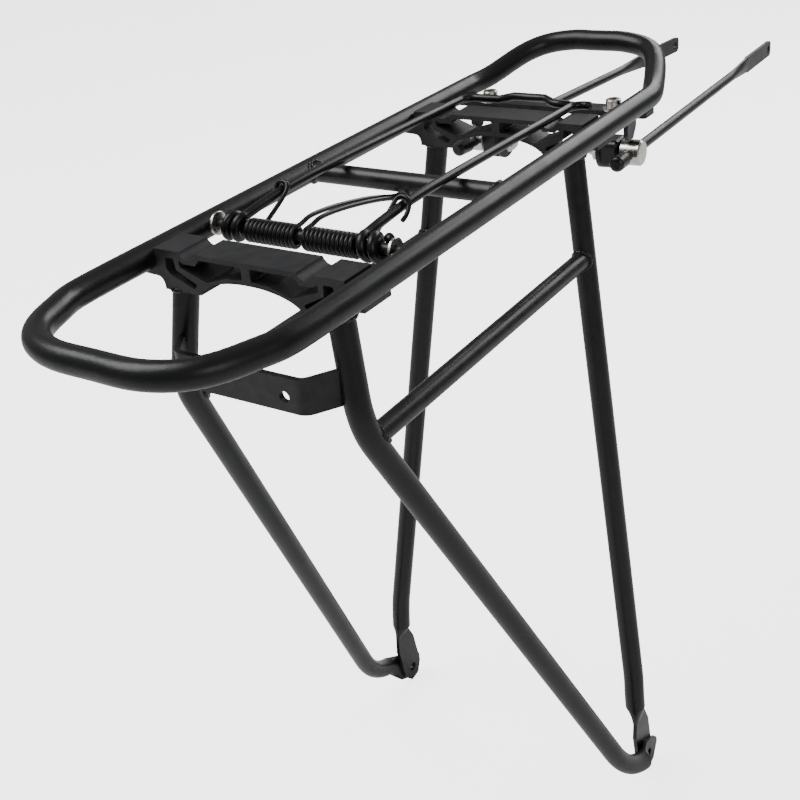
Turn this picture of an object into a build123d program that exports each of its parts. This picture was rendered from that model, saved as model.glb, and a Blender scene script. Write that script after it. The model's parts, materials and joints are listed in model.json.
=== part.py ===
from build123d import *
import os
from math import cos, radians, sin

# Bicycle rear rack. Millimetres, +X to the rider's right, +Y forward, +Z up.
# The origin is midway between the two lower eyelets, on their common hole axis.
# Right-hand pieces are modelled and mirrored to the left.

# --- main tubes ---
TUBE_D = 12.0            # deck loop and legs
TUBE_WALL = 1.5
THIN_TUBE_D = 10.0       # struts and cross tube
DECK_Z = 396.6           # rail axis above the eyelets
RAIL_X = 57.2            # rail axis from the middle
RAIL_REAR_Y = -209.4     # the rails are straight between these two
RAIL_FRONT_Y = 84.6
REAR_BAR_Y = -279.1      # end bar axes
FRONT_BAR_Y = 144.6
FRONT_RISE = 14.9        # how far the front lip rises
VENT_D = 3.0             # drain hole in each rail, hidden by a bridge
CROSS_TUBE_Y = -73.8

# --- bridges: slices of one extruded profile ---
BRIDGE_W = 18.6
REAR_BRIDGE_Y = -182.9
FRONT_BRIDGE_Y = 25.85
BRIDGE_TOP = 4.9         # pads above the rail axis
FOOT_BOTTOM = -14.0      # where the legs are welded on

# --- eyelets and legs ---
PLATE_T = 2.5            # a flattened tube end
EYELET_X = 90.4          # plane where the two flattened ends meet
EYELET_R = 3.25
TAB_HALF_W = 9.3
LEG_TOP_EXTRA = 6.0      # leg drawn past the foot, then cut flat
REAR_LEG_TOP = Vector(42.5, -185.8, DECK_Z + FOOT_BOTTOM)
REAR_KNEE = Vector(50.2, -191.9, 334.7)
REAR_LEG_LOW = Vector(91.4, -48.8, 43.0)
REAR_NECK = Vector(96.2, -17.0, 10.5)
REAR_NECK_DIR = Vector(0.05, 0.93, -0.38)
KNEE_LENGTH = 14.0       # straight leg given up on each side of the knee
TAB_TILT = 27.0          # rear tab, degrees below the horizontal
FRONT_LEG_TOP = Vector(42.1, 23.5, DECK_Z + FOOT_BOTTOM)
FRONT_LEG_LOW = Vector(85.4, -5.9, 69.7)
FRONT_NECK = Vector(87.4, -7.6, 44.0)
BLADE_TILT = 80.2        # front blade, degrees below the horizontal

# --- struts and light bracket ---
STRUT_REAR = Vector(51.4, -187.9, 326.9)
STRUT_FRONT = Vector(49.7, 18.4, 327.8)
LAMP_Y = -206.9
LAMP_BOTTOM = 345.1
LAMP_H = 16.4
LAMP_T = 2.8
LAMP_BEND_X = 34.7
LAMP_HOLE_X = 25.0
LAMP_HOLE_Z = 352.3
LAMP_HOLE_R = 2.75

# --- spring flap ---
AXLE_Y = -152.4
AXLE_Z = DECK_Z + 2.0
AXLE_R = 2.5
ARM_R = 2.25
ARM_X = 33.5
EYE_R = AXLE_R + ARM_R + 0.1
EYE_PITCH = 4.4
EYE_TURNS = 3
BAR_Y = 43.5             # the flap's front cross bar
BAR_Z = DECK_Z + 6.7
ARM_BEND = 7.0
BAR_STEP_Y = 4.0         # the middle of the bar stands forward and up
BAR_STEP_Z = 1.0
BAR_STEP_X = 5.0         # from here
BAR_STEP_FAR_X = 14.0    # to here
BAR_STEP_RUN = 7.0
ARM_TAIL = 2.5
WASHER_X = 48.9

# --- torsion spring ---
SPRING_R = 1.1
COIL_R = 4.6
COIL_DROP = 0.8          # the coil hangs on the axle
COIL_X0 = 2.9
COIL_X1 = 29.7
COIL_TURNS = 13
COIL_PITCH = (COIL_X1 - COIL_X0) / (COIL_TURNS - 1)
COIL_JOIN = 0.08         # neighbouring turns touch

# --- stays ---
PLATE_Y = 82.1           # cross plate under the rails
PLATE_LEN = 13.0
PLATE_TOP = -5.8
PLATE_THICK = 3.0
PLATE_HALF = 60.0
SCREW = Vector(39.3, 79.6, DECK_Z)
SCREW_R = 2.5
RUNNING = 0.05           # radial clearance of every turning or sliding fit
SWIVEL = 3.04            # bracket turned inward, degrees
NOSE_DOWN = 1.72         # rod dips forward, degrees
SHEET = 2.5              # bracket sheet thickness
FLANGE_BOTTOM = -11.4
FLANGE_HALF = 6.5
TAB_X = -8.3             # inner face of the tab, from the screw
SKIRT_X = 8.2
SKIRT_BOTTOM = -22.0
CLAMP_Y = 1.5            # clamp axis, from the screw
CLAMP_Z = -30.2
TAB_END_R = 9.5
BLOCK_LEN = 17.0
BLOCK_H = 16.0
BLOCK_X1 = 3.7
BARREL_X0 = 4.2
BARREL_X1 = 16.3
BARREL_R = 7.25
STUD_R = 3.0
NUT_T = 4.0
ROD_X = 10.2             # rod axis, from the screw
ROD_R = 3.0
ROD_REAR = -24.0         # distances along the rod from the clamp
ROD_ROUND_END = 175.8
ROD_FLAT_START = 214.0
ROD_TIP = 269.5
ROD_HOLE = 263.5
ROD_HOLE_R = 2.65
ROD_FLAT_H = 10.5
CAP_R = 4.35
CAP_REAR = -25.6
CAP_FRONT = -13.5

os.makedirs("parts", exist_ok=True)


def save(piece, label):
    """Label one finished piece and write it as its own STEP file."""
    piece.part.label = label
    export_step(piece.part, f"parts/{label}.step")


def save_pair(right, name):
    """Write the right-hand piece and its mirror image."""
    save(right, f"{name}_right")
    with BuildPart() as left:
        mirror(right.part, about=Plane.YZ)
    save(left, f"{name}_left")


def bar_along(path, radius):
    """Solid round bar swept along a path."""
    with BuildPart() as bar:
        with BuildSketch(Plane(origin=path @ 0, z_dir=path % 0)):
            Circle(radius)
        sweep(path=path)
    return bar.part


def tube_along(path, diameter):
    """Hollow tube swept along a path."""
    with BuildPart() as tube:
        with BuildSketch(Plane(origin=path @ 0, z_dir=path % 0)):
            Circle(diameter / 2)
            Circle(diameter / 2 - TUBE_WALL, mode=Mode.SUBTRACT)
        sweep(path=path)
    return tube.part


def deck_plane(y):
    """Upright plane across the rack at y, with its centre at rail height."""
    return Plane(origin=(0, y, DECK_Z), x_dir=(1, 0, 0), z_dir=(0, -1, 0))


# ---------------------------------------------------------------- deck loop
with BuildLine() as deck_path:
    Spline(
        (0, REAR_BAR_Y, DECK_Z),
        (22.4, REAR_BAR_Y + 0.7, DECK_Z),
        (36.7, REAR_BAR_Y + 6.2, DECK_Z),
        (46.6, REAR_BAR_Y + 16.7, DECK_Z),
        (52.6, REAR_BAR_Y + 31.1, DECK_Z),
        (RAIL_X, RAIL_REAR_Y, DECK_Z),
        tangents=[(1, 0, 0), (0, 1, 0)],
    )
    Line((RAIL_X, RAIL_REAR_Y, DECK_Z), (RAIL_X, RAIL_FRONT_Y, DECK_Z))
    Spline(
        (RAIL_X, RAIL_FRONT_Y, DECK_Z),
        (53.2, FRONT_BAR_Y - 42.2, DECK_Z + 1.6),
        (44.5, FRONT_BAR_Y - 19.7, DECK_Z + 8.3),
        (30.0, FRONT_BAR_Y - 3.2, DECK_Z + 13.3),
        (15.0, FRONT_BAR_Y - 0.1, DECK_Z + FRONT_RISE),
        (0, FRONT_BAR_Y, DECK_Z + FRONT_RISE),
        tangents=[(0, 1, 0), (-1, 0, 0)],
    )

with BuildPart() as deck_loop_tube:
    with BuildSketch(Plane(origin=(0, REAR_BAR_Y, DECK_Z), z_dir=(1, 0, 0))):
        Circle(TUBE_D / 2)
        Circle(TUBE_D / 2 - TUBE_WALL, mode=Mode.SUBTRACT)
    sweep(path=deck_path.line)
    with BuildSketch(Plane.XY.offset(DECK_Z - TUBE_D)):
        with Locations((RAIL_X, REAR_BRIDGE_Y), (RAIL_X, FRONT_BRIDGE_Y)):
            Circle(VENT_D / 2)
    extrude(amount=TUBE_D, mode=Mode.SUBTRACT)
    mirror(about=Plane.YZ)
save(deck_loop_tube, "deck_loop_tube")

deck_bar = bar_along(deck_path.line, TUBE_D / 2)

# Solid bars in the place of both straight rails, for cutting seats and coped ends.
with BuildPart() as rail_bars:
    with BuildSketch(deck_plane(RAIL_FRONT_Y)):
        with Locations((-RAIL_X, 0), (RAIL_X, 0)):
            Circle(TUBE_D / 2)
    extrude(amount=RAIL_FRONT_Y - RAIL_REAR_Y)


# ---------------------------------------------------------------- bridges
def bridge(middle_y):
    """One slice of the bridge profile: pads, arm grooves, arch, feet and openings."""
    with BuildPart() as plate:
        with BuildSketch(deck_plane(middle_y + BRIDGE_W / 2)):
            with BuildLine():
                Line((0, BRIDGE_TOP), (27.2, BRIDGE_TOP))
                ThreePointArc((27.2, BRIDGE_TOP), (31.95, 1.5), (36.7, BRIDGE_TOP))
                Polyline(
                    (36.7, BRIDGE_TOP),
                    (51.6, BRIDGE_TOP),
                    (51.6, 0),
                    (60.0, -1.0),
                    (60.0, -7.7),
                    (52.5, -8.1),
                )
                Spline((52.5, -8.1), (49.6, -9.4), (48.6, FOOT_BOTTOM), tangents=[(-1, 0), (0, -1)])
                Line((48.6, FOOT_BOTTOM), (27.7, FOOT_BOTTOM))
                Line((27.7, FOOT_BOTTOM), (27.7, -12.5))
                Spline((27.7, -12.5), (19.7, -8.0), (9.6, -5.8), (0, -5.3), tangents=[(-1, 1), (-1, 0)])
                mirror(about=Plane.YZ)
            make_face()
            with Locations((-RAIL_X, 0), (RAIL_X, 0)):
                Circle(TUBE_D / 2, mode=Mode.SUBTRACT)
            with BuildLine():
                FilletPolyline(
                    (2.4, 2.6),
                    (25.6, 2.6),
                    (28.4, -0.4),
                    (35.2, -0.4),
                    (38.2, 1.6),
                    (37.4, -2.4),
                    (23.2, -7.4),
                    (12.0, -3.9),
                    (2.4, -3.1),
                    radius=0.7,
                    close=True,
                )
            make_face(mode=Mode.SUBTRACT)
            with BuildLine():
                FilletPolyline(
                    (40.6, 1.4),
                    (45.6, 1.4),
                    (46.0, -4.0),
                    (43.6, -6.6),
                    (31.2, -11.6),
                    (28.8, -9.4),
                    (40.2, -3.8),
                    radius=0.9,
                    close=True,
                )
            make_face(mode=Mode.SUBTRACT)
            mirror(about=Plane.YZ, mode=Mode.INTERSECT)
        extrude(amount=BRIDGE_W)
    return plate


rear_bridge = bridge(REAR_BRIDGE_Y)
front_bridge = bridge(FRONT_BRIDGE_Y)
save(rear_bridge, "rear_bridge")
save(front_bridge, "front_bridge")

# ---------------------------------------------------------------- cross tube
with BuildPart() as cross_tube:
    with BuildSketch(Plane(origin=(-RAIL_X, CROSS_TUBE_Y, DECK_Z), z_dir=(1, 0, 0))):
        Circle(THIN_TUBE_D / 2)
        Circle(THIN_TUBE_D / 2 - TUBE_WALL, mode=Mode.SUBTRACT)
    extrude(amount=2 * RAIL_X)
    add(rail_bars.part, mode=Mode.SUBTRACT)
save(cross_tube, "cross_tube")


# ---------------------------------------------------------------- legs
def tab_plane(x, tilt):
    """Plane facing +X through the eyelet axis, its own X running down-forward along a flat end."""
    along = (0, cos(radians(tilt)), -sin(radians(tilt)))
    return Plane(origin=(x, 0, 0), x_dir=along, z_dir=(1, 0, 0))


def neck_plane(plane, reach):
    """Plane across a flat end, at a distance along it and in the middle of its thickness."""
    middle = plane.from_local_coords((reach, 0, PLATE_T / 2))
    return Plane(origin=middle, x_dir=(1, 0, 0), z_dir=plane.x_dir)


with BuildLine() as rear_leg_path:
    upper_dir = (REAR_KNEE - REAR_LEG_TOP).normalized()
    lower_dir = (REAR_LEG_LOW - REAR_KNEE).normalized()
    knee_in = REAR_KNEE - upper_dir * KNEE_LENGTH
    knee_out = REAR_KNEE + lower_dir * KNEE_LENGTH
    Line(REAR_LEG_TOP - upper_dir * LEG_TOP_EXTRA, knee_in)
    Bezier(knee_in, REAR_KNEE, knee_out)
    Line(knee_out, REAR_LEG_LOW)
    Spline(REAR_LEG_LOW, REAR_NECK, tangents=[lower_dir, REAR_NECK_DIR])

with BuildLine() as front_leg_path:
    front_dir = (FRONT_LEG_LOW - FRONT_LEG_TOP).normalized()
    Line(FRONT_LEG_TOP - front_dir * LEG_TOP_EXTRA, FRONT_LEG_LOW)
    Spline(FRONT_LEG_LOW, FRONT_NECK, tangents=[front_dir, (0.08, 0, -1)])

rear_leg_bar = bar_along(rear_leg_path.line, TUBE_D / 2)
front_leg_bar = bar_along(front_leg_path.line, TUBE_D / 2)


def leg(path, flat, outline):
    """Tube cut flat under the bridge foot, squeezed to a flat drilled end at the bottom."""
    flat_start, neck_half = outline[0]
    corners = [0] + [PLATE_T] * (len(outline) - 2) + [0]
    with BuildPart() as piece:
        add(tube_along(path, TUBE_D))
        split(bisect_by=Plane.XY.offset(DECK_Z + FOOT_BOTTOM), keep=Keep.BOTTOM)
        with BuildSketch(Plane(origin=path @ 1, x_dir=(1, 0, 0), z_dir=path % 1)):
            Circle(TUBE_D / 2)
        with BuildSketch(neck_plane(flat, flat_start)):
            Rectangle(PLATE_T, 2 * neck_half)
        loft()
        with BuildSketch(flat):
            with BuildLine():
                FilletPolyline(*outline, radius=corners, close=True)
            make_face()
            Circle(EYELET_R, mode=Mode.SUBTRACT)
        extrude(amount=PLATE_T)
    return piece


rear_flat = tab_plane(EYELET_X, TAB_TILT)
rear_leg_right = leg(
    rear_leg_path.line,
    rear_flat,
    [
        (-8.0, TAB_HALF_W),
        (8.0, TAB_HALF_W),
        (11.5, 6.0),
        (11.5, -6.0),
        (8.0, -TAB_HALF_W),
        (-8.0, -TAB_HALF_W),
    ],
)
save_pair(rear_leg_right, "rear_leg")

front_flat = tab_plane(EYELET_X - PLATE_T, BLADE_TILT)
front_leg_right = leg(
    front_leg_path.line,
    front_flat,
    [
        (-34.0, 6.5),
        (-24.0, TAB_HALF_W),
        (2.0, TAB_HALF_W),
        (10.0, 4.0),
        (10.0, -4.0),
        (2.0, -TAB_HALF_W),
        (-24.0, -TAB_HALF_W),
        (-34.0, -6.5),
    ],
)
save_pair(front_leg_right, "front_leg")

# ---------------------------------------------------------------- struts
with BuildLine() as strut_path:
    Line(STRUT_REAR, STRUT_FRONT)

with BuildPart() as strut_right:
    add(tube_along(strut_path.line, THIN_TUBE_D))
    add(rear_leg_bar, mode=Mode.SUBTRACT)
    add(front_leg_bar, mode=Mode.SUBTRACT)
save_pair(strut_right, "strut")

# ---------------------------------------------------------------- light bracket
lamp_leg_y = REAR_LEG_TOP.Y + 0.5 * (REAR_KNEE.Y - REAR_LEG_TOP.Y)
lamp_leg_x = REAR_LEG_TOP.X + 0.5 * (REAR_KNEE.X - REAR_LEG_TOP.X)
with BuildPart() as light_bracket:
    with BuildSketch(Plane.XY.offset(LAMP_BOTTOM)):
        with BuildLine():
            FilletPolyline(
                (-lamp_leg_x, lamp_leg_y),
                (-LAMP_BEND_X, LAMP_Y),
                (LAMP_BEND_X, LAMP_Y),
                (lamp_leg_x, lamp_leg_y),
                radius=6.0,
            )
        trace(line_width=LAMP_T)
    extrude(amount=LAMP_H)
    with BuildSketch(Plane(origin=(0, LAMP_Y, LAMP_HOLE_Z), x_dir=(1, 0, 0), z_dir=(0, -1, 0))):
        with Locations((-LAMP_HOLE_X, 0), (LAMP_HOLE_X, 0)):
            Circle(LAMP_HOLE_R)
    extrude(amount=LAMP_T, both=True, mode=Mode.SUBTRACT)
    add(rear_leg_bar, mode=Mode.SUBTRACT)
    mirror(rear_leg_bar, about=Plane.YZ, mode=Mode.SUBTRACT)
save(light_bracket, "light_bracket")

# ---------------------------------------------------------------- flap axle and washers
with BuildPart() as flap_axle:
    with BuildSketch(Plane(origin=(-RAIL_X, AXLE_Y, AXLE_Z), z_dir=(1, 0, 0))):
        Circle(AXLE_R)
    extrude(amount=2 * RAIL_X)
    add(rail_bars.part, mode=Mode.SUBTRACT)
save(flap_axle, "flap_axle")

with BuildPart() as axle_washers:
    with BuildSketch(Plane(origin=(WASHER_X - 0.6, AXLE_Y, AXLE_Z), z_dir=(1, 0, 0))):
        Circle(5.5)
        Circle(AXLE_R, mode=Mode.SUBTRACT)
    extrude(amount=1.2)
    chamfer(axle_washers.edges().filter_by(GeomType.CIRCLE), 0.2)
    mirror(about=Plane.YZ)
save(axle_washers, "axle_washers")


# ---------------------------------------------------------------- flap arms
# The wound eye is drawn as rings that just join, and the arm leaves the first ring at its top.
EYE_END = (ARM_X, AXLE_Y, AXLE_Z + EYE_R)
arm_rise = [
    (ARM_X, AXLE_Y + 3.0, AXLE_Z + EYE_R),
    (ARM_X, AXLE_Y + 14.0, DECK_Z + 8.0),
    (ARM_X, AXLE_Y + 37.0, DECK_Z + 9.4),
    (ARM_X, CROSS_TUBE_Y, DECK_Z + 9.2),
]
ARM_BEND_START = (ARM_X, BAR_Y - ARM_BEND, BAR_Z)
run_dir = (Vector(*ARM_BEND_START) - Vector(*arm_rise[-1])).normalized()


def arm_run():
    """Rise and straight run, the same on both arms."""
    Line(EYE_END, arm_rise[0])
    Spline(*arm_rise, tangents=[(0, 1, 0), run_dir])
    Line(arm_rise[-1], ARM_BEND_START)


def arm(path):
    """Arm along its path, with its eye."""
    with BuildPart() as piece:
        with BuildSketch(Plane(origin=(0, AXLE_Y, AXLE_Z), x_dir=(1, 0, 0), z_dir=(0, -1, 0))):
            for turn in range(EYE_TURNS):
                with Locations((ARM_X + EYE_PITCH * turn, EYE_R)):
                    Circle(ARM_R)
        revolve(axis=Axis((0, AXLE_Y, AXLE_Z), (1, 0, 0)))
        add(bar_along(path, ARM_R))
    return piece


with BuildLine() as right_arm_path:
    arm_run()
    Bezier(ARM_BEND_START, (ARM_X, BAR_Y, BAR_Z), (ARM_X + ARM_BEND, BAR_Y, BAR_Z))
    Line((ARM_X + ARM_BEND, BAR_Y, BAR_Z), (ARM_X + ARM_BEND + ARM_TAIL, BAR_Y, BAR_Z))
flap_arm_right = arm(right_arm_path.line)
save(flap_arm_right, "flap_arm_right")

# The left arm is modelled on the right as well, up to its bend, then runs across to the other arm.
step_top = (BAR_STEP_X, BAR_Y + BAR_STEP_Y, BAR_Z + BAR_STEP_Z)
step_end = (-BAR_STEP_FAR_X, BAR_Y + BAR_STEP_Y, BAR_Z + BAR_STEP_Z)
with BuildLine() as left_arm_path:
    arm_run()
    Bezier(ARM_BEND_START, (ARM_X, BAR_Y, BAR_Z), (ARM_X - ARM_BEND, BAR_Y, BAR_Z))
    Line((ARM_X - ARM_BEND, BAR_Y, BAR_Z), (BAR_STEP_X + BAR_STEP_RUN, BAR_Y, BAR_Z))
    Spline((BAR_STEP_X + BAR_STEP_RUN, BAR_Y, BAR_Z), step_top, tangents=[(-1, 0, 0), (-1, 0, 0)])
    Line(step_top, step_end)
    Spline(step_end, (-BAR_STEP_FAR_X - BAR_STEP_RUN, BAR_Y, BAR_Z), tangents=[(-1, 0, 0), (-1, 0, 0)])
    Line((-BAR_STEP_FAR_X - BAR_STEP_RUN, BAR_Y, BAR_Z), (-ARM_X, BAR_Y - ARM_BEND / 4, BAR_Z))

with BuildPart() as flap_arm_left:
    mirror(arm(left_arm_path.line).part, about=Plane.YZ)
    add(bar_along(right_arm_path.line, ARM_R), mode=Mode.SUBTRACT)
save(flap_arm_left, "flap_arm_left")


# ---------------------------------------------------------------- torsion springs
# The close-wound coil is drawn as rings that just join. Each leg runs straight into its last ring.
coil_z = AXLE_Z - COIL_DROP
middle_leg = [
    (0, CROSS_TUBE_Y + 3.9, DECK_Z - 6.5),
    (2.7, CROSS_TUBE_Y + 1.2, DECK_Z - 6.5),
    (3.1, CROSS_TUBE_Y - 4.0, DECK_Z - 5.9),
    (3.1, AXLE_Y + 54.0, DECK_Z),
    (3.0, AXLE_Y + 30.0, DECK_Z + 5.0),
    (2.9, AXLE_Y + 10.0, DECK_Z + 8.6),
]
hook = [
    (29.6, AXLE_Y + 24.0, DECK_Z + 7.4),
    (29.8, AXLE_Y + 28.5, DECK_Z + 10.4),
    (31.0, AXLE_Y + 30.4, DECK_Z + 12.9),
    (33.5, AXLE_Y + 30.9, DECK_Z + 13.6),
    (36.0, AXLE_Y + 30.6, DECK_Z + 12.8),
    (37.5, AXLE_Y + 29.4, DECK_Z + 9.8),
    (37.6, AXLE_Y + 26.4, DECK_Z + 6.6),
    (37.6, AXLE_Y + 23.0, DECK_Z + 5.2),
]
leg_root = (2.9, AXLE_Y, coil_z + COIL_R)
hook_root = (29.6, AXLE_Y + COIL_R, coil_z)
leg_dir = Vector(*leg_root) - Vector(*middle_leg[-1])
hook_dir = Vector(*hook[0]) - Vector(*hook_root)


def spring(side):
    """One half of the double spring; side is 1 on the right and -1 on the left."""
    across = lambda points: [(side * x, y, z) for x, y, z in points]
    with BuildLine() as leg_path:
        Spline(*across(middle_leg), tangents=[(side, 0, 0), (0, leg_dir.Y, leg_dir.Z)])
        Line(across(middle_leg)[-1], across([leg_root])[0])
    with BuildLine() as hook_path:
        Line(across([hook_root])[0], across(hook)[0])
        Spline(*across(hook), tangents=[(0, hook_dir.Y, hook_dir.Z), (0, -1, -0.2)])
    with BuildPart() as piece:
        with BuildSketch(Plane(origin=(0, AXLE_Y, coil_z), x_dir=(1, 0, 0), z_dir=(0, -1, 0))):
            for turn in range(COIL_TURNS):
                with Locations((side * (COIL_X0 + turn * COIL_PITCH), COIL_R)):
                    Circle(SPRING_R + COIL_JOIN)
        revolve(axis=Axis((0, AXLE_Y, coil_z), (1, 0, 0)))
        add(bar_along(leg_path.line, SPRING_R))
        add(bar_along(hook_path.line, SPRING_R))
    return piece


spring_right = spring(1)
spring_left = spring(-1)
save(spring_right, "spring_right")
save(spring_left, "spring_left")

# ---------------------------------------------------------------- stay cross plate and screws
with BuildPart() as stay_cross_plate:
    with BuildSketch(Plane.XY.offset(DECK_Z + PLATE_TOP - PLATE_THICK)):
        with Locations((0, PLATE_Y)):
            RectangleRounded(2 * PLATE_HALF, PLATE_LEN, 2.0)
        with Locations((-SCREW.X, SCREW.Y), (SCREW.X, SCREW.Y)):
            Circle(SCREW_R + 0.1, mode=Mode.SUBTRACT)
    extrude(amount=PLATE_THICK)
    add(deck_bar, mode=Mode.SUBTRACT)
    mirror(deck_bar, about=Plane.YZ, mode=Mode.SUBTRACT)
save(stay_cross_plate, "stay_cross_plate")

WASHER_T = 1.0
HEAD_R = 4.25
HEAD_H = 5.0
SOCKET_R = 2.3
SCREW_END = -16.4
WASHER_TOP = PLATE_TOP + WASHER_T

with BuildPart() as bracket_washers:
    with BuildSketch(Plane.XY.offset(DECK_Z + PLATE_TOP)):
        with Locations((-SCREW.X, SCREW.Y), (SCREW.X, SCREW.Y)):
            Circle(6.0)
            Circle(SCREW_R, mode=Mode.SUBTRACT)
    extrude(amount=WASHER_T)
save(bracket_washers, "bracket_washers")

with BuildPart() as bracket_screws:
    with BuildSketch(Plane.XY.offset(DECK_Z + SCREW_END)):
        with Locations((SCREW.X, SCREW.Y)):
            Circle(SCREW_R)
    extrude(amount=WASHER_TOP - SCREW_END)
    with BuildSketch(Plane.XY.offset(DECK_Z + WASHER_TOP)):
        with Locations((SCREW.X, SCREW.Y)):
            Circle(HEAD_R)
    extrude(amount=HEAD_H)
    fillet(bracket_screws.edges().filter_by(GeomType.CIRCLE).sort_by(Axis.Z)[-1], 0.8)
    with BuildSketch(Plane.XY.offset(DECK_Z + WASHER_TOP + HEAD_H)):
        with Locations((SCREW.X, SCREW.Y)):
            RegularPolygon(SOCKET_R, 6)
    extrude(amount=-2.5, mode=Mode.SUBTRACT)
    mirror(about=Plane.YZ)
save(bracket_screws, "bracket_screws")

with BuildPart() as bracket_nuts:
    with BuildSketch(Plane.XY.offset(DECK_Z + FLANGE_BOTTOM - RUNNING)):
        with Locations((-SCREW.X, SCREW.Y), (SCREW.X, SCREW.Y)):
            RegularPolygon(4.0, 6, major_radius=False)
            Circle(SCREW_R, mode=Mode.SUBTRACT)
    extrude(amount=-NUT_T)
save(bracket_nuts, "bracket_nuts")

# ---------------------------------------------------------------- stay bracket and clamp
swivel = Plane(
    origin=SCREW,
    x_dir=(cos(radians(SWIVEL)), sin(radians(SWIVEL)), 0),
    z_dir=(0, 0, 1),
)


def side_plane(x):
    """Plane facing outward, at a distance from the swivel axis; its X is the bracket's forward."""
    return Plane(origin=swivel.from_local_coords((x, 0, 0)), x_dir=swivel.y_dir, z_dir=swivel.x_dir)


with BuildPart() as stay_bracket_right:
    with BuildSketch(swivel.offset(FLANGE_BOTTOM)):
        with Locations(((TAB_X + SKIRT_X + SHEET) / 2, 0)):
            Rectangle(SKIRT_X + SHEET - TAB_X, 2 * FLANGE_HALF)
    extrude(amount=SHEET)
    with BuildSketch(side_plane(TAB_X)):
        with BuildLine():
            Polyline(
                (CLAMP_Y - TAB_END_R, CLAMP_Z),
                (-FLANGE_HALF, FLANGE_BOTTOM),
                (-FLANGE_HALF, FLANGE_BOTTOM + SHEET),
                (FLANGE_HALF, FLANGE_BOTTOM + SHEET),
                (FLANGE_HALF, FLANGE_BOTTOM),
                (CLAMP_Y + TAB_END_R, CLAMP_Z),
            )
            ThreePointArc(
                (CLAMP_Y + TAB_END_R, CLAMP_Z),
                (CLAMP_Y, CLAMP_Z - TAB_END_R),
                (CLAMP_Y - TAB_END_R, CLAMP_Z),
            )
        make_face()
    extrude(amount=SHEET)
    with BuildSketch(side_plane(SKIRT_X)):
        with BuildLine():
            Polyline(
                (-FLANGE_HALF, SKIRT_BOTTOM + 3),
                (-FLANGE_HALF, FLANGE_BOTTOM + SHEET),
                (FLANGE_HALF, FLANGE_BOTTOM + SHEET),
                (FLANGE_HALF, SKIRT_BOTTOM + 6),
                (2.0, SKIRT_BOTTOM),
                (-FLANGE_HALF + 3, SKIRT_BOTTOM),
                close=True,
            )
        make_face()
    extrude(amount=SHEET)
    top_edges = stay_bracket_right.edges().group_by(Axis.Z)[-1]
    fillet(top_edges.filter_by(Axis(swivel.origin, swivel.y_dir)), SHEET - 0.2)
    with BuildSketch(swivel.offset(FLANGE_BOTTOM)):
        Circle(SCREW_R + RUNNING)
    extrude(amount=SHEET, mode=Mode.SUBTRACT)
    with BuildSketch(side_plane(TAB_X)):
        with Locations((CLAMP_Y, CLAMP_Z)):
            Circle(STUD_R + RUNNING)
    extrude(amount=SHEET, mode=Mode.SUBTRACT)
save_pair(stay_bracket_right, "stay_bracket")

block_x0 = TAB_X + SHEET
with BuildPart() as clamp_block_right:
    with BuildSketch(side_plane(block_x0)):
        with Locations((CLAMP_Y, CLAMP_Z)):
            RectangleRounded(BLOCK_LEN, BLOCK_H, 3.5)
            Circle(STUD_R + RUNNING, mode=Mode.SUBTRACT)
    extrude(amount=BLOCK_X1 - block_x0)
    outer_face = clamp_block_right.faces().sort_by(Axis(swivel.origin, swivel.x_dir))[-1]
    chamfer(outer_face.outer_wire().edges(), 1.0)
save_pair(clamp_block_right, "clamp_block")

rod_dip = radians(NOSE_DOWN)
clamp_point = swivel.from_local_coords((ROD_X, CLAMP_Y, CLAMP_Z))
rod_dir = swivel.y_dir * cos(rod_dip) - swivel.z_dir * sin(rod_dip)
rod_plane = Plane(origin=clamp_point, x_dir=swivel.x_dir, z_dir=rod_dir)
rod_side = Plane(origin=clamp_point, x_dir=rod_dir, z_dir=swivel.x_dir)

with BuildPart() as clamp_bolt_right:
    with BuildSketch(side_plane(BARREL_X0)):
        with Locations((CLAMP_Y, CLAMP_Z)):
            Circle(BARREL_R)
    extrude(amount=BARREL_X1 - BARREL_X0)
    ends = clamp_bolt_right.edges().filter_by(GeomType.CIRCLE)
    chamfer(ends, 0.8)
    with BuildSketch(side_plane(BARREL_X0)):
        with Locations((CLAMP_Y, CLAMP_Z)):
            Circle(STUD_R)
    extrude(amount=TAB_X - NUT_T - 2.5 - BARREL_X0)
    with BuildSketch(rod_plane):
        Circle(ROD_R + RUNNING)
    extrude(amount=2 * BARREL_R, both=True, mode=Mode.SUBTRACT)
save_pair(clamp_bolt_right, "clamp_bolt")

with BuildPart() as clamp_nut_right:
    with BuildSketch(side_plane(TAB_X - RUNNING)):
        with Locations((CLAMP_Y, CLAMP_Z)):
            RegularPolygon(5.0, 6, major_radius=False)
            Circle(STUD_R, mode=Mode.SUBTRACT)
    extrude(amount=-NUT_T)
save_pair(clamp_nut_right, "clamp_nut")

# ---------------------------------------------------------------- stay rod and end cap
with BuildPart() as stay_rod_right:
    with BuildSketch(rod_plane.offset(ROD_REAR)):
        Circle(ROD_R)
    extrude(amount=ROD_ROUND_END - ROD_REAR)
    with BuildSketch(rod_plane.offset(ROD_ROUND_END)):
        Circle(ROD_R)
    with BuildSketch(rod_plane.offset(ROD_FLAT_START)):
        RectangleRounded(PLATE_T, ROD_FLAT_H, PLATE_T / 2.01)
    loft()
    with BuildSketch(rod_side.offset(-PLATE_T / 2)):
        with BuildLine():
            FilletPolyline(
                (ROD_FLAT_START, ROD_FLAT_H / 2),
                (ROD_TIP, ROD_FLAT_H / 2),
                (ROD_TIP, -ROD_FLAT_H / 2),
                (ROD_FLAT_START, -ROD_FLAT_H / 2),
                radius=(0, 3.0, 3.0, 0),
                close=True,
            )
        make_face()
        with Locations((ROD_HOLE, 0)):
            Circle(ROD_HOLE_R, mode=Mode.SUBTRACT)
    extrude(amount=PLATE_T)
save_pair(stay_rod_right, "stay_rod")

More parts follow.
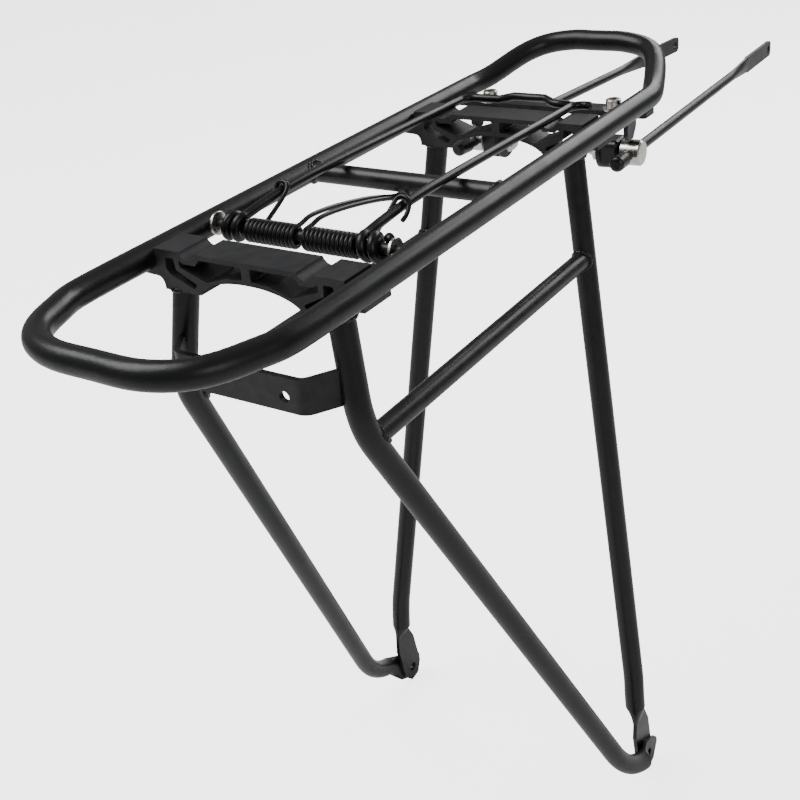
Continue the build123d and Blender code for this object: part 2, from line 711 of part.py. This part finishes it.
with BuildPart() as rod_cap_right:
    with BuildSketch(rod_plane.offset(CAP_REAR)):
        Circle(CAP_R)
    extrude(amount=CAP_FRONT - CAP_REAR)
    ends = rod_cap_right.edges().filter_by(GeomType.CIRCLE).sort_by(Axis(clamp_point, rod_dir))
    fillet(ends[0], 2.4)
    fillet(ends[-1], 0.6)
    with BuildSketch(rod_plane.offset(ROD_REAR)):
        Circle(ROD_R)
    extrude(amount=CAP_FRONT - ROD_REAR, mode=Mode.SUBTRACT)
save_pair(rod_cap_right, "rod_cap")
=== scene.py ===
import json
import math

import bmesh
import bpy
from mathutils import Matrix, Vector, noise


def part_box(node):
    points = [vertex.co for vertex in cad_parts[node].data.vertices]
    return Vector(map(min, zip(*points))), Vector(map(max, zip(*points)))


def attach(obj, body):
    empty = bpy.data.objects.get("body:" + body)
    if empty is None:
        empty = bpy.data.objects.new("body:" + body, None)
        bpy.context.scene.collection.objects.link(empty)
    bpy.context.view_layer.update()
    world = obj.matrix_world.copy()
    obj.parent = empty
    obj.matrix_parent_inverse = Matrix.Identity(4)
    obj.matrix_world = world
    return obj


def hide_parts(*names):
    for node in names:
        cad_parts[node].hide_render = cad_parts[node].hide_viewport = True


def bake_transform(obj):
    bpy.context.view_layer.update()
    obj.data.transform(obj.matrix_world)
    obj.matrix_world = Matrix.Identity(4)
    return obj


# A bicycle rear rack in satin black, in metres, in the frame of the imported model.

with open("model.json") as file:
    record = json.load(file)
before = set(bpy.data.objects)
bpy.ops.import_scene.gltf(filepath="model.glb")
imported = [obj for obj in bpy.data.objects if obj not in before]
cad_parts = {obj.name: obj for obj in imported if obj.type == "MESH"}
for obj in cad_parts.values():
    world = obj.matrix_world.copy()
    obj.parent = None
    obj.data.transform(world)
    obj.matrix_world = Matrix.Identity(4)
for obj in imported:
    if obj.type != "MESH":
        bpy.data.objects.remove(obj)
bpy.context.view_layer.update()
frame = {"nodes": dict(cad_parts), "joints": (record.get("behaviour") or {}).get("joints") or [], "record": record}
NODES = frame["nodes"]
SLOT_OF = {s["node"]: s["material_slot"] for s in frame["record"]["subparts"]}
JOINTS = {j["name"]: j for j in frame["joints"]}
BOTH = (("right", 1), ("left", -1))


# ---------------------------------------------------------------- places worked out from the frame
def middle(node):
    low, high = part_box(node)
    return (low + high) / 2


TUBE_R = 0.006
THIN_R = 0.005
FOOT_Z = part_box("rear_bridge")[0].z
DECK_Z = middle("cross_tube").z
RAIL_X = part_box("deck_loop_tube")[1].x - TUBE_R
CROSS_Y = middle("cross_tube").y
AXLE = Vector(JOINTS["flap_hinge"]["pos_m"])


# ---------------------------------------------------------------- materials
def new_material(name):
    material = bpy.data.materials.new(name)
    material.use_nodes = True
    tree = material.node_tree
    tree.nodes.clear()
    output = tree.nodes.new("ShaderNodeOutputMaterial")
    shader = tree.nodes.new("ShaderNodeBsdfPrincipled")
    tree.links.new(shader.outputs["BSDF"], output.inputs["Surface"])
    return material, tree, shader


def add_noise(tree, scale, detail=4.0, stretch=(1, 1, 1)):
    """Noise in object space, so that its grain keeps its real size."""
    place = tree.nodes.new("ShaderNodeTexCoord")
    mapping = tree.nodes.new("ShaderNodeMapping")
    mapping.inputs["Scale"].default_value = stretch
    texture = tree.nodes.new("ShaderNodeTexNoise")
    texture.inputs["Scale"].default_value = scale
    texture.inputs["Detail"].default_value = detail
    tree.links.new(place.outputs["Object"], mapping.inputs["Vector"])
    tree.links.new(mapping.outputs["Vector"], texture.inputs["Vector"])
    return texture.outputs["Fac"]


def add_ramp(tree, source, stops):
    ramp = tree.nodes.new("ShaderNodeValToRGB")
    ramp.color_ramp.elements[0].position = stops[0][0]
    ramp.color_ramp.elements[0].color = (*stops[0][1], 1)
    ramp.color_ramp.elements[1].position = stops[1][0]
    ramp.color_ramp.elements[1].color = (*stops[1][1], 1)
    tree.links.new(source, ramp.inputs["Fac"])
    return ramp.outputs["Color"]


def add_range(tree, source, low, high):
    """Turn noise, which stays near a half, into a value from low to high."""
    spread = tree.nodes.new("ShaderNodeMapRange")
    spread.inputs["From Min"].default_value = 0.3
    spread.inputs["From Max"].default_value = 0.7
    spread.inputs["To Min"].default_value = low
    spread.inputs["To Max"].default_value = high
    tree.links.new(source, spread.inputs["Value"])
    return spread.outputs["Result"]


def add_bump(tree, shader, source, height, strength):
    bump = tree.nodes.new("ShaderNodeBump")
    bump.inputs["Distance"].default_value = height
    bump.inputs["Strength"].default_value = strength
    tree.links.new(source, bump.inputs["Height"])
    tree.links.new(bump.outputs["Normal"], shader.inputs["Normal"])


def edge_wear(tree, shader, color, worn):
    """Rubbed edges, broken up by noise so that they don't follow every edge."""
    geometry = tree.nodes.new("ShaderNodeNewGeometry")
    edges = add_range(tree, geometry.outputs["Pointiness"], 0.0, 1.0)
    edges.node.inputs["From Min"].default_value = 0.56
    edges.node.inputs["From Max"].default_value = 0.68
    patches = add_range(tree, add_noise(tree, 160.0), 0.0, 0.5)
    both = tree.nodes.new("ShaderNodeMath")
    both.operation = "MULTIPLY"
    tree.links.new(edges, both.inputs[0])
    tree.links.new(patches, both.inputs[1])
    mix = tree.nodes.new("ShaderNodeMix")
    mix.data_type = "RGBA"
    tree.links.new(both.outputs[0], mix.inputs["Factor"])
    tree.links.new(color, mix.inputs["A"])
    mix.inputs["B"].default_value = (*worn, 1)
    tree.links.new(mix.outputs["Result"], shader.inputs["Base Color"])


def grey(level):
    return (level, level, level * 1.06)


def powder_coat(name, dark, light, rough, grain, height=0.00012):
    """Satin black coating with a fine orange-peel grain."""
    material, tree, shader = new_material(name)
    color = add_ramp(tree, add_noise(tree, 35.0), ((0.35, grey(dark)), (0.65, grey(light))))
    edge_wear(tree, shader, color, (0.05, 0.05, 0.053))
    roughness = add_range(tree, add_noise(tree, 60.0), rough - 0.04, rough + 0.05)
    tree.links.new(roughness, shader.inputs["Roughness"])
    add_bump(tree, shader, add_noise(tree, grain, 3.0), height, 0.35)
    shader.inputs["Specular IOR Level"].default_value = 0.34
    return material


def plated(name):
    """Nickel plate with fine brushing around its axis and a little tarnish."""
    material, tree, shader = new_material(name)
    tarnish, bright = (0.50, 0.46, 0.40), (0.78, 0.75, 0.70)
    color = add_ramp(tree, add_noise(tree, 90.0), ((0.3, tarnish), (0.7, bright)))
    tree.links.new(color, shader.inputs["Base Color"])
    shader.inputs["Metallic"].default_value = 1.0
    tree.links.new(add_range(tree, add_noise(tree, 300.0), 0.16, 0.36), shader.inputs["Roughness"])
    add_bump(tree, shader, add_noise(tree, 400.0, 2.0, (6, 1, 1)), 0.0001, 0.25)
    return material


def moulded(name):
    """Black plastic, slightly glossy, with a faint moulded grain."""
    material, tree, shader = new_material(name)
    color = add_ramp(tree, add_noise(tree, 80.0), ((0.3, grey(0.003)), (0.7, grey(0.006))))
    tree.links.new(color, shader.inputs["Base Color"])
    tree.links.new(add_range(tree, add_noise(tree, 120.0), 0.28, 0.42), shader.inputs["Roughness"])
    add_bump(tree, shader, add_noise(tree, 900.0, 2.0), 0.0001, 0.3)
    return material


MATERIALS = {
    "black_tube": powder_coat("tube_coat", 0.0035, 0.0065, 0.33, 1100.0),
    "black_casting": powder_coat("bridge_coat", 0.008, 0.013, 0.46, 1500.0, 0.00016),
    "black_steel": powder_coat("steel_coat", 0.0035, 0.0065, 0.36, 1200.0),
    "black_wire": powder_coat("wire_coat", 0.003, 0.0055, 0.30, 1400.0),
    "spring_steel": powder_coat("spring_coat", 0.003, 0.006, 0.32, 1400.0),
    "nickel": plated("nickel_plate"),
    "black_plastic": moulded("black_moulding"),
}


def coat_cad_nodes():
    for name, node in NODES.items():
        node.data.materials.clear()
        node.data.materials.append(MATERIALS[SLOT_OF[name]])


# ---------------------------------------------------------------- swept wires and beads
def swept(name, points, radii, slot, closed=False, sides=16):
    """A round bar along points, with its own radius at each point, as a closed mesh."""
    count = len(points)
    mesh = bmesh.new()
    rings = []
    normal = None
    for i, point in enumerate(points):
        before = points[i - 1] if (i or closed) else points[0]
        after = points[(i + 1) % count] if (i < count - 1 or closed) else points[-1]
        along = (after - before).normalized()
        if normal is None:
            normal = along.orthogonal().normalized()
        normal = (normal - along * normal.dot(along)).normalized()
        side = along.cross(normal)
        ring = []
        for k in range(sides):
            angle = 2 * math.pi * k / sides
            outward = normal * math.cos(angle) + side * math.sin(angle)
            ring.append(mesh.verts.new(point + outward * radii[i]))
        rings.append(ring)
    for i in range(count if closed else count - 1):
        first, second = rings[i], rings[(i + 1) % count]
        shift = 0
        if closed and i == count - 1:
            shift = min(range(sides), key=lambda s: (second[s].co - first[0].co).length)
        for k in range(sides):
            a, b = first[k], first[(k + 1) % sides]
            c, d = second[(k + 1 + shift) % sides], second[(k + shift) % sides]
            mesh.faces.new((a, b, c, d))
    if not closed:
        mesh.faces.new(list(reversed(rings[0])))
        mesh.faces.new(rings[-1])
    bmesh.ops.recalc_face_normals(mesh, faces=mesh.faces)
    data = bpy.data.meshes.new(name)
    mesh.to_mesh(data)
    mesh.free()
    data.shade_smooth()
    piece = bpy.data.objects.new(name, data)
    bpy.context.scene.collection.objects.link(piece)
    data.materials.append(MATERIALS[slot])
    return piece


def smooth_path(points, steps=8):
    """Catmull-Rom curve through the points."""
    ends = [points[0] * 2 - points[1], *points, points[-1] * 2 - points[-2]]
    path = []
    for a, b, c, d in zip(ends, ends[1:], ends[2:], ends[3:]):
        for k in range(steps):
            t = k / steps
            curve = (2 * a - 5 * b + 4 * c - d) * t * t + (3 * b - a - 3 * c + d) * t ** 3
            path.append(0.5 * (2 * b + (c - a) * t + curve))
    path.append(points[-1])
    return path


# ---------------------------------------------------------------- weld beads
BEAD_R = 0.0013


def bead(name, points):
    """A closed weld bead with the ripple of a run of small pools."""
    count = len(points)
    radii = []
    for i in range(count):
        ripple = 0.00012 * math.sin(2 * math.pi * i / count * 18)
        radii.append(BEAD_R + ripple + 0.00015 * noise.noise(points[i] * 400))
    piece = swept(name, points, radii, "black_tube", closed=True, sides=10)
    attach(piece, "root")


def around(axis):
    first = axis.orthogonal().normalized()
    return first, axis.cross(first).normalized()


def bead_on_tube(name, start, axis, big_start, big_axis, steps=108):
    """Bead where a thin tube from start along axis leaves the surface of a bigger tube."""
    first, second = around(axis)
    points = []
    for i in range(steps):
        angle = 2 * math.pi * i / steps
        rim = start + (first * math.cos(angle) + second * math.sin(angle)) * THIN_R
        flat = (rim - big_start) - big_axis * (rim - big_start).dot(big_axis)
        run = axis - big_axis * axis.dot(big_axis)
        a, b, c = run.dot(run), 2 * flat.dot(run), flat.dot(flat) - TUBE_R ** 2
        reach = (-b + math.sqrt(max(b * b - 4 * a * c, 0))) / (2 * a)
        points.append(rim + axis * reach)
    bead(name, points)


def bead_under_foot(name, start, axis, steps=108):
    """Bead where a leg meets the flat underside of its bridge foot."""
    first, second = around(axis)
    points = []
    for i in range(steps):
        angle = 2 * math.pi * i / steps
        rim = start + (first * math.cos(angle) + second * math.sin(angle)) * TUBE_R
        points.append(rim + axis * (FOOT_Z - rim.z) / axis.z)
    bead(name, points)


REAR_TOP = Vector((0.0425, -0.1858, 0.3826))
REAR_KNEE = Vector((0.0502, -0.1919, 0.3347))
REAR_LOW = Vector((0.0914, -0.0488, 0.0430))
FRONT_TOP = Vector((0.0421, 0.0235, 0.3826))
FRONT_LOW = Vector((0.0854, -0.0059, 0.0697))
STRUT_REAR = Vector((0.0514, -0.1879, 0.3269))
STRUT_FRONT = Vector((0.0497, 0.0184, 0.3278))


def add_welds():
    for side_name, side in BOTH:
        mirror = lambda v: Vector((side * v.x, v.y, v.z))
        rear_up = (mirror(REAR_TOP) - mirror(REAR_KNEE)).normalized()
        rear_down = (mirror(REAR_LOW) - mirror(REAR_KNEE)).normalized()
        front_up = (mirror(FRONT_TOP) - mirror(FRONT_LOW)).normalized()
        strut = (mirror(STRUT_FRONT) - mirror(STRUT_REAR)).normalized()
        bead_under_foot(f"weld_rear_foot_{side_name}", mirror(REAR_TOP), rear_up)
        bead_under_foot(f"weld_front_foot_{side_name}", mirror(FRONT_TOP), front_up)
        cross_end = Vector((side * RAIL_X, CROSS_Y, DECK_Z))
        inward, forward = Vector((-side, 0, 0)), Vector((0, 1, 0))
        rear_tube, front_tube = (mirror(REAR_KNEE), rear_down), (mirror(FRONT_LOW), front_up)
        bead_on_tube(f"weld_strut_rear_{side_name}", mirror(STRUT_REAR), strut, *rear_tube)
        bead_on_tube(f"weld_strut_front_{side_name}", mirror(STRUT_FRONT), -strut, *front_tube)
        bead_on_tube(f"weld_cross_tube_{side_name}", cross_end, inward, cross_end, forward)


# ---------------------------------------------------------------- double torsion spring
WIRE_R = 0.0011
COIL_R = 0.0046
COIL_X0 = 0.0029
COIL_X1 = 0.0296
COIL_DROP = 0.0008
COIL_START = 90.0
COIL_SWEEP = 11 * 360.0 + 200.0


def spring_points(side):
    """Middle hook under the cross tube, close-wound coil, then the outer hook over the flap arm."""
    hub = Vector((0, AXLE.y, AXLE.z - COIL_DROP))
    leg = [
        (0, CROSS_Y + 0.0039, DECK_Z - 0.0066),
        (0.0018, CROSS_Y + 0.0032, DECK_Z - 0.0066),
        (0.0029, CROSS_Y + 0.0008, DECK_Z - 0.0066),
        (0.0031, CROSS_Y - 0.0050, DECK_Z - 0.0058),
        (0.0031, AXLE.y + 0.0540, DECK_Z),
        (0.0030, AXLE.y + 0.0300, DECK_Z + 0.0050),
        (0.0029, AXLE.y + 0.0120, DECK_Z + 0.0072),
        (0.0029, AXLE.y + 0.0040, hub.z + COIL_R + 0.0004),
    ]
    coil = []
    steps = round(COIL_SWEEP / 12)
    for i in range(steps + 1):
        share = i / steps
        angle = math.radians(COIL_START + share * COIL_SWEEP)
        x = COIL_X0 + share * (COIL_X1 - COIL_X0)
        y, z = hub.y + COIL_R * math.cos(angle), hub.z + COIL_R * math.sin(angle)
        coil.append(Vector((side * x, y, z)))
    hook = [
        (0.0297, AXLE.y + 0.0140, DECK_Z + 0.0023),
        (0.0297, AXLE.y + 0.0240, DECK_Z + 0.0074),
        (0.0299, AXLE.y + 0.0285, DECK_Z + 0.0104),
        (0.0311, AXLE.y + 0.0304, DECK_Z + 0.0124),
        (0.0335, AXLE.y + 0.0309, DECK_Z + 0.0131),
        (0.0360, AXLE.y + 0.0306, DECK_Z + 0.0123),
        (0.0373, AXLE.y + 0.0294, DECK_Z + 0.0098),
        (0.0375, AXLE.y + 0.0264, DECK_Z + 0.0066),
        (0.0375, AXLE.y + 0.0230, DECK_Z + 0.0052),
    ]
    place = lambda rows: [Vector((side * x, y, z)) for x, y, z in rows]
    return smooth_path(place(leg) + coil[:1])[:-1] + coil + smooth_path(coil[-1:] + place(hook))[1:]


def add_springs():
    for side_name, side in BOTH:
        points = spring_points(side)
        radii = [WIRE_R] * len(points)
        piece = swept(f"torsion_spring_{side_name}", points, radii, "spring_steel", sides=12)
        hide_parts(f"spring_{side_name}")
        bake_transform(piece)


# ---------------------------------------------------------------- flap arms with wound eyes
ARM_R = 0.00225
ARM_X = 0.0335
EYE_R = 0.00485
EYE_PITCH = 0.0056
EYE_TURNS = 1.9
EYE_STEPS = 76
BAR_Y = 0.0435
BAR_Z = DECK_Z + 0.0067
BEND_R = 0.0070
TAIL = 0.0025


def arm_run():
    """Points of the right arm, from the eye's free end to where the arm starts its front bend."""
    points = []
    for i in range(EYE_STEPS, 0, -1):
        turn = EYE_TURNS * i / EYE_STEPS
        angle = 2 * math.pi * turn
        y, z = AXLE.y - EYE_R * math.sin(angle), AXLE.z + EYE_R * math.cos(angle)
        points.append(Vector((ARM_X + EYE_PITCH * turn, y, z)))
    top = AXLE.z + EYE_R
    rise = [
        (ARM_X, AXLE.y, top),
        (ARM_X, AXLE.y + 0.0030, top),
        (ARM_X, AXLE.y + 0.0140, DECK_Z + 0.0080),
        (ARM_X, AXLE.y + 0.0370, DECK_Z + 0.0094),
        (ARM_X, CROSS_Y, DECK_Z + 0.0092),
        (ARM_X, BAR_Y - BEND_R, BAR_Z),
    ]
    return points + smooth_path([Vector(p) for p in rise])


def quarter_bend(turn):
    """Points of the bend at the front of an arm; turn is 1 outward and -1 inward."""
    points = []
    for i in range(1, 13):
        angle = math.pi / 2 * i / 12
        across, ahead = BEND_R * (1 - math.cos(angle)), BEND_R * math.sin(angle)
        points.append(Vector((ARM_X + turn * across, BAR_Y - BEND_R + ahead, BAR_Z)))
    return points


def add_arms():
    tail = Vector((ARM_X + BEND_R + TAIL, BAR_Y, BAR_Z))
    right = arm_run() + quarter_bend(1) + [tail]
    bar = [
        (0.0120, BAR_Y, BAR_Z),
        (0.0085, BAR_Y + 0.0020, BAR_Z + 0.0005),
        (0.0050, BAR_Y + 0.0040, BAR_Z + 0.0010),
        (-0.0140, BAR_Y + 0.0040, BAR_Z + 0.0010),
        (-0.0175, BAR_Y + 0.0020, BAR_Z + 0.0005),
        (-0.0210, BAR_Y, BAR_Z),
        (-0.0325, BAR_Y - 0.0018, BAR_Z),
    ]
    left = arm_run() + quarter_bend(-1) + [Vector(p) for p in bar]
    for side_name, side, points in (("right", 1, right), ("left", -1, left)):
        points = [Vector((side * p.x, p.y, p.z)) for p in points]
        piece = swept(f"wound_arm_{side_name}", points, [ARM_R] * len(points), "black_wire", sides=20)
        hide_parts(f"flap_arm_{side_name}")
        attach(piece, "flap")


# ---------------------------------------------------------------- stage, light and camera
FLOOR_GLOW = 3.0
SKY_GLOW = 3.6


def brighter_to_camera(tree, others, camera):
    """One value for the camera's rays and one for all others, to keep the studio white and the coat black."""
    path = tree.nodes.new("ShaderNodeLightPath")
    mix = tree.nodes.new("ShaderNodeMix")
    mix.inputs["A"].default_value = others
    mix.inputs["B"].default_value = camera
    tree.links.new(path.outputs["Is Camera Ray"], mix.inputs["Factor"])
    return mix.outputs["Result"]


def add_floor(height):
    bpy.ops.mesh.primitive_plane_add(size=60, location=(0, 0, height))
    floor = bpy.context.object
    floor.name = "floor"
    material, tree, shader = new_material("pale_floor")
    color = add_ramp(tree, add_noise(tree, 3.0), ((0.3, (0.86, 0.86, 0.86)), (0.7, (0.90, 0.90, 0.90))))
    tree.links.new(color, shader.inputs["Base Color"])
    shader.inputs["Roughness"].default_value = 0.7
    glow = brighter_to_camera(tree, 0.0, FLOOR_GLOW)
    tree.links.new(glow, shader.inputs["Emission Strength"])
    shader.inputs["Emission Color"].default_value = (1, 1, 1, 1)
    floor.data.materials.append(material)


def add_light(name, place, target, size, power):
    data = bpy.data.lights.new(name, "AREA")
    data.shape = "RECTANGLE"
    data.size, data.size_y = size
    data.energy = power
    lamp = bpy.data.objects.new(name, data)
    lamp.location = place
    lamp.rotation_euler = (Vector(target) - Vector(place)).to_track_quat("-Z", "Y").to_euler()
    bpy.context.scene.collection.objects.link(lamp)


def add_world(strength):
    world = bpy.data.worlds.new("studio")
    world.use_nodes = True
    background = world.node_tree.nodes["Background"]
    background.inputs["Color"].default_value = (0.95, 0.97, 1.0, 1)
    glow = brighter_to_camera(world.node_tree, strength, SKY_GLOW)
    world.node_tree.links.new(glow, background.inputs["Strength"])
    bpy.context.scene.world = world


CAMERA_PLACE = Vector((0.3301, -0.5374, 0.5873))
CAMERA_TURN = math.radians(36.79)    # looks forward and to the rider's left
CAMERA_DIP = math.radians(28.54)
CAMERA_ROLL = math.radians(6.67)
CAMERA_LENS = 55.15


def add_camera():
    data = bpy.data.cameras.new("camera")
    data.lens = CAMERA_LENS
    data.sensor_width = 36
    data.clip_start = 0.01
    camera = bpy.data.objects.new("camera", data)
    level = math.cos(CAMERA_DIP)
    across, forward = -math.sin(CAMERA_TURN) * level, math.cos(CAMERA_TURN) * level
    ahead = Vector((across, forward, -math.sin(CAMERA_DIP)))
    flat_right = Vector((math.cos(CAMERA_TURN), math.sin(CAMERA_TURN), 0))
    flat_up = flat_right.cross(ahead)
    right = flat_right * math.cos(CAMERA_ROLL) - flat_up * math.sin(CAMERA_ROLL)
    up = flat_right * math.sin(CAMERA_ROLL) + flat_up * math.cos(CAMERA_ROLL)
    turn = Matrix((right, up, -ahead)).transposed()
    camera.matrix_world = Matrix.Translation(CAMERA_PLACE) @ turn.to_4x4()
    bpy.context.scene.collection.objects.link(camera)
    bpy.context.scene.camera = camera


coat_cad_nodes()
add_welds()
add_springs()
add_arms()
add_floor(min(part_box("rear_leg_right")[0].z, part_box("front_leg_right")[0].z))
add_light("key", (-0.9, -0.6, 1.9), (0, 0, 0.3), (1.2, 1.2), 34)
add_light("fill", (1.6, -0.9, 1.2), (0, 0, 0.25), (1.0, 1.0), 7)
add_light("rim", (0.2, 1.7, 1.3), (0, 0, 0.35), (1.6, 0.7), 20)
add_world(0.28)
add_camera()
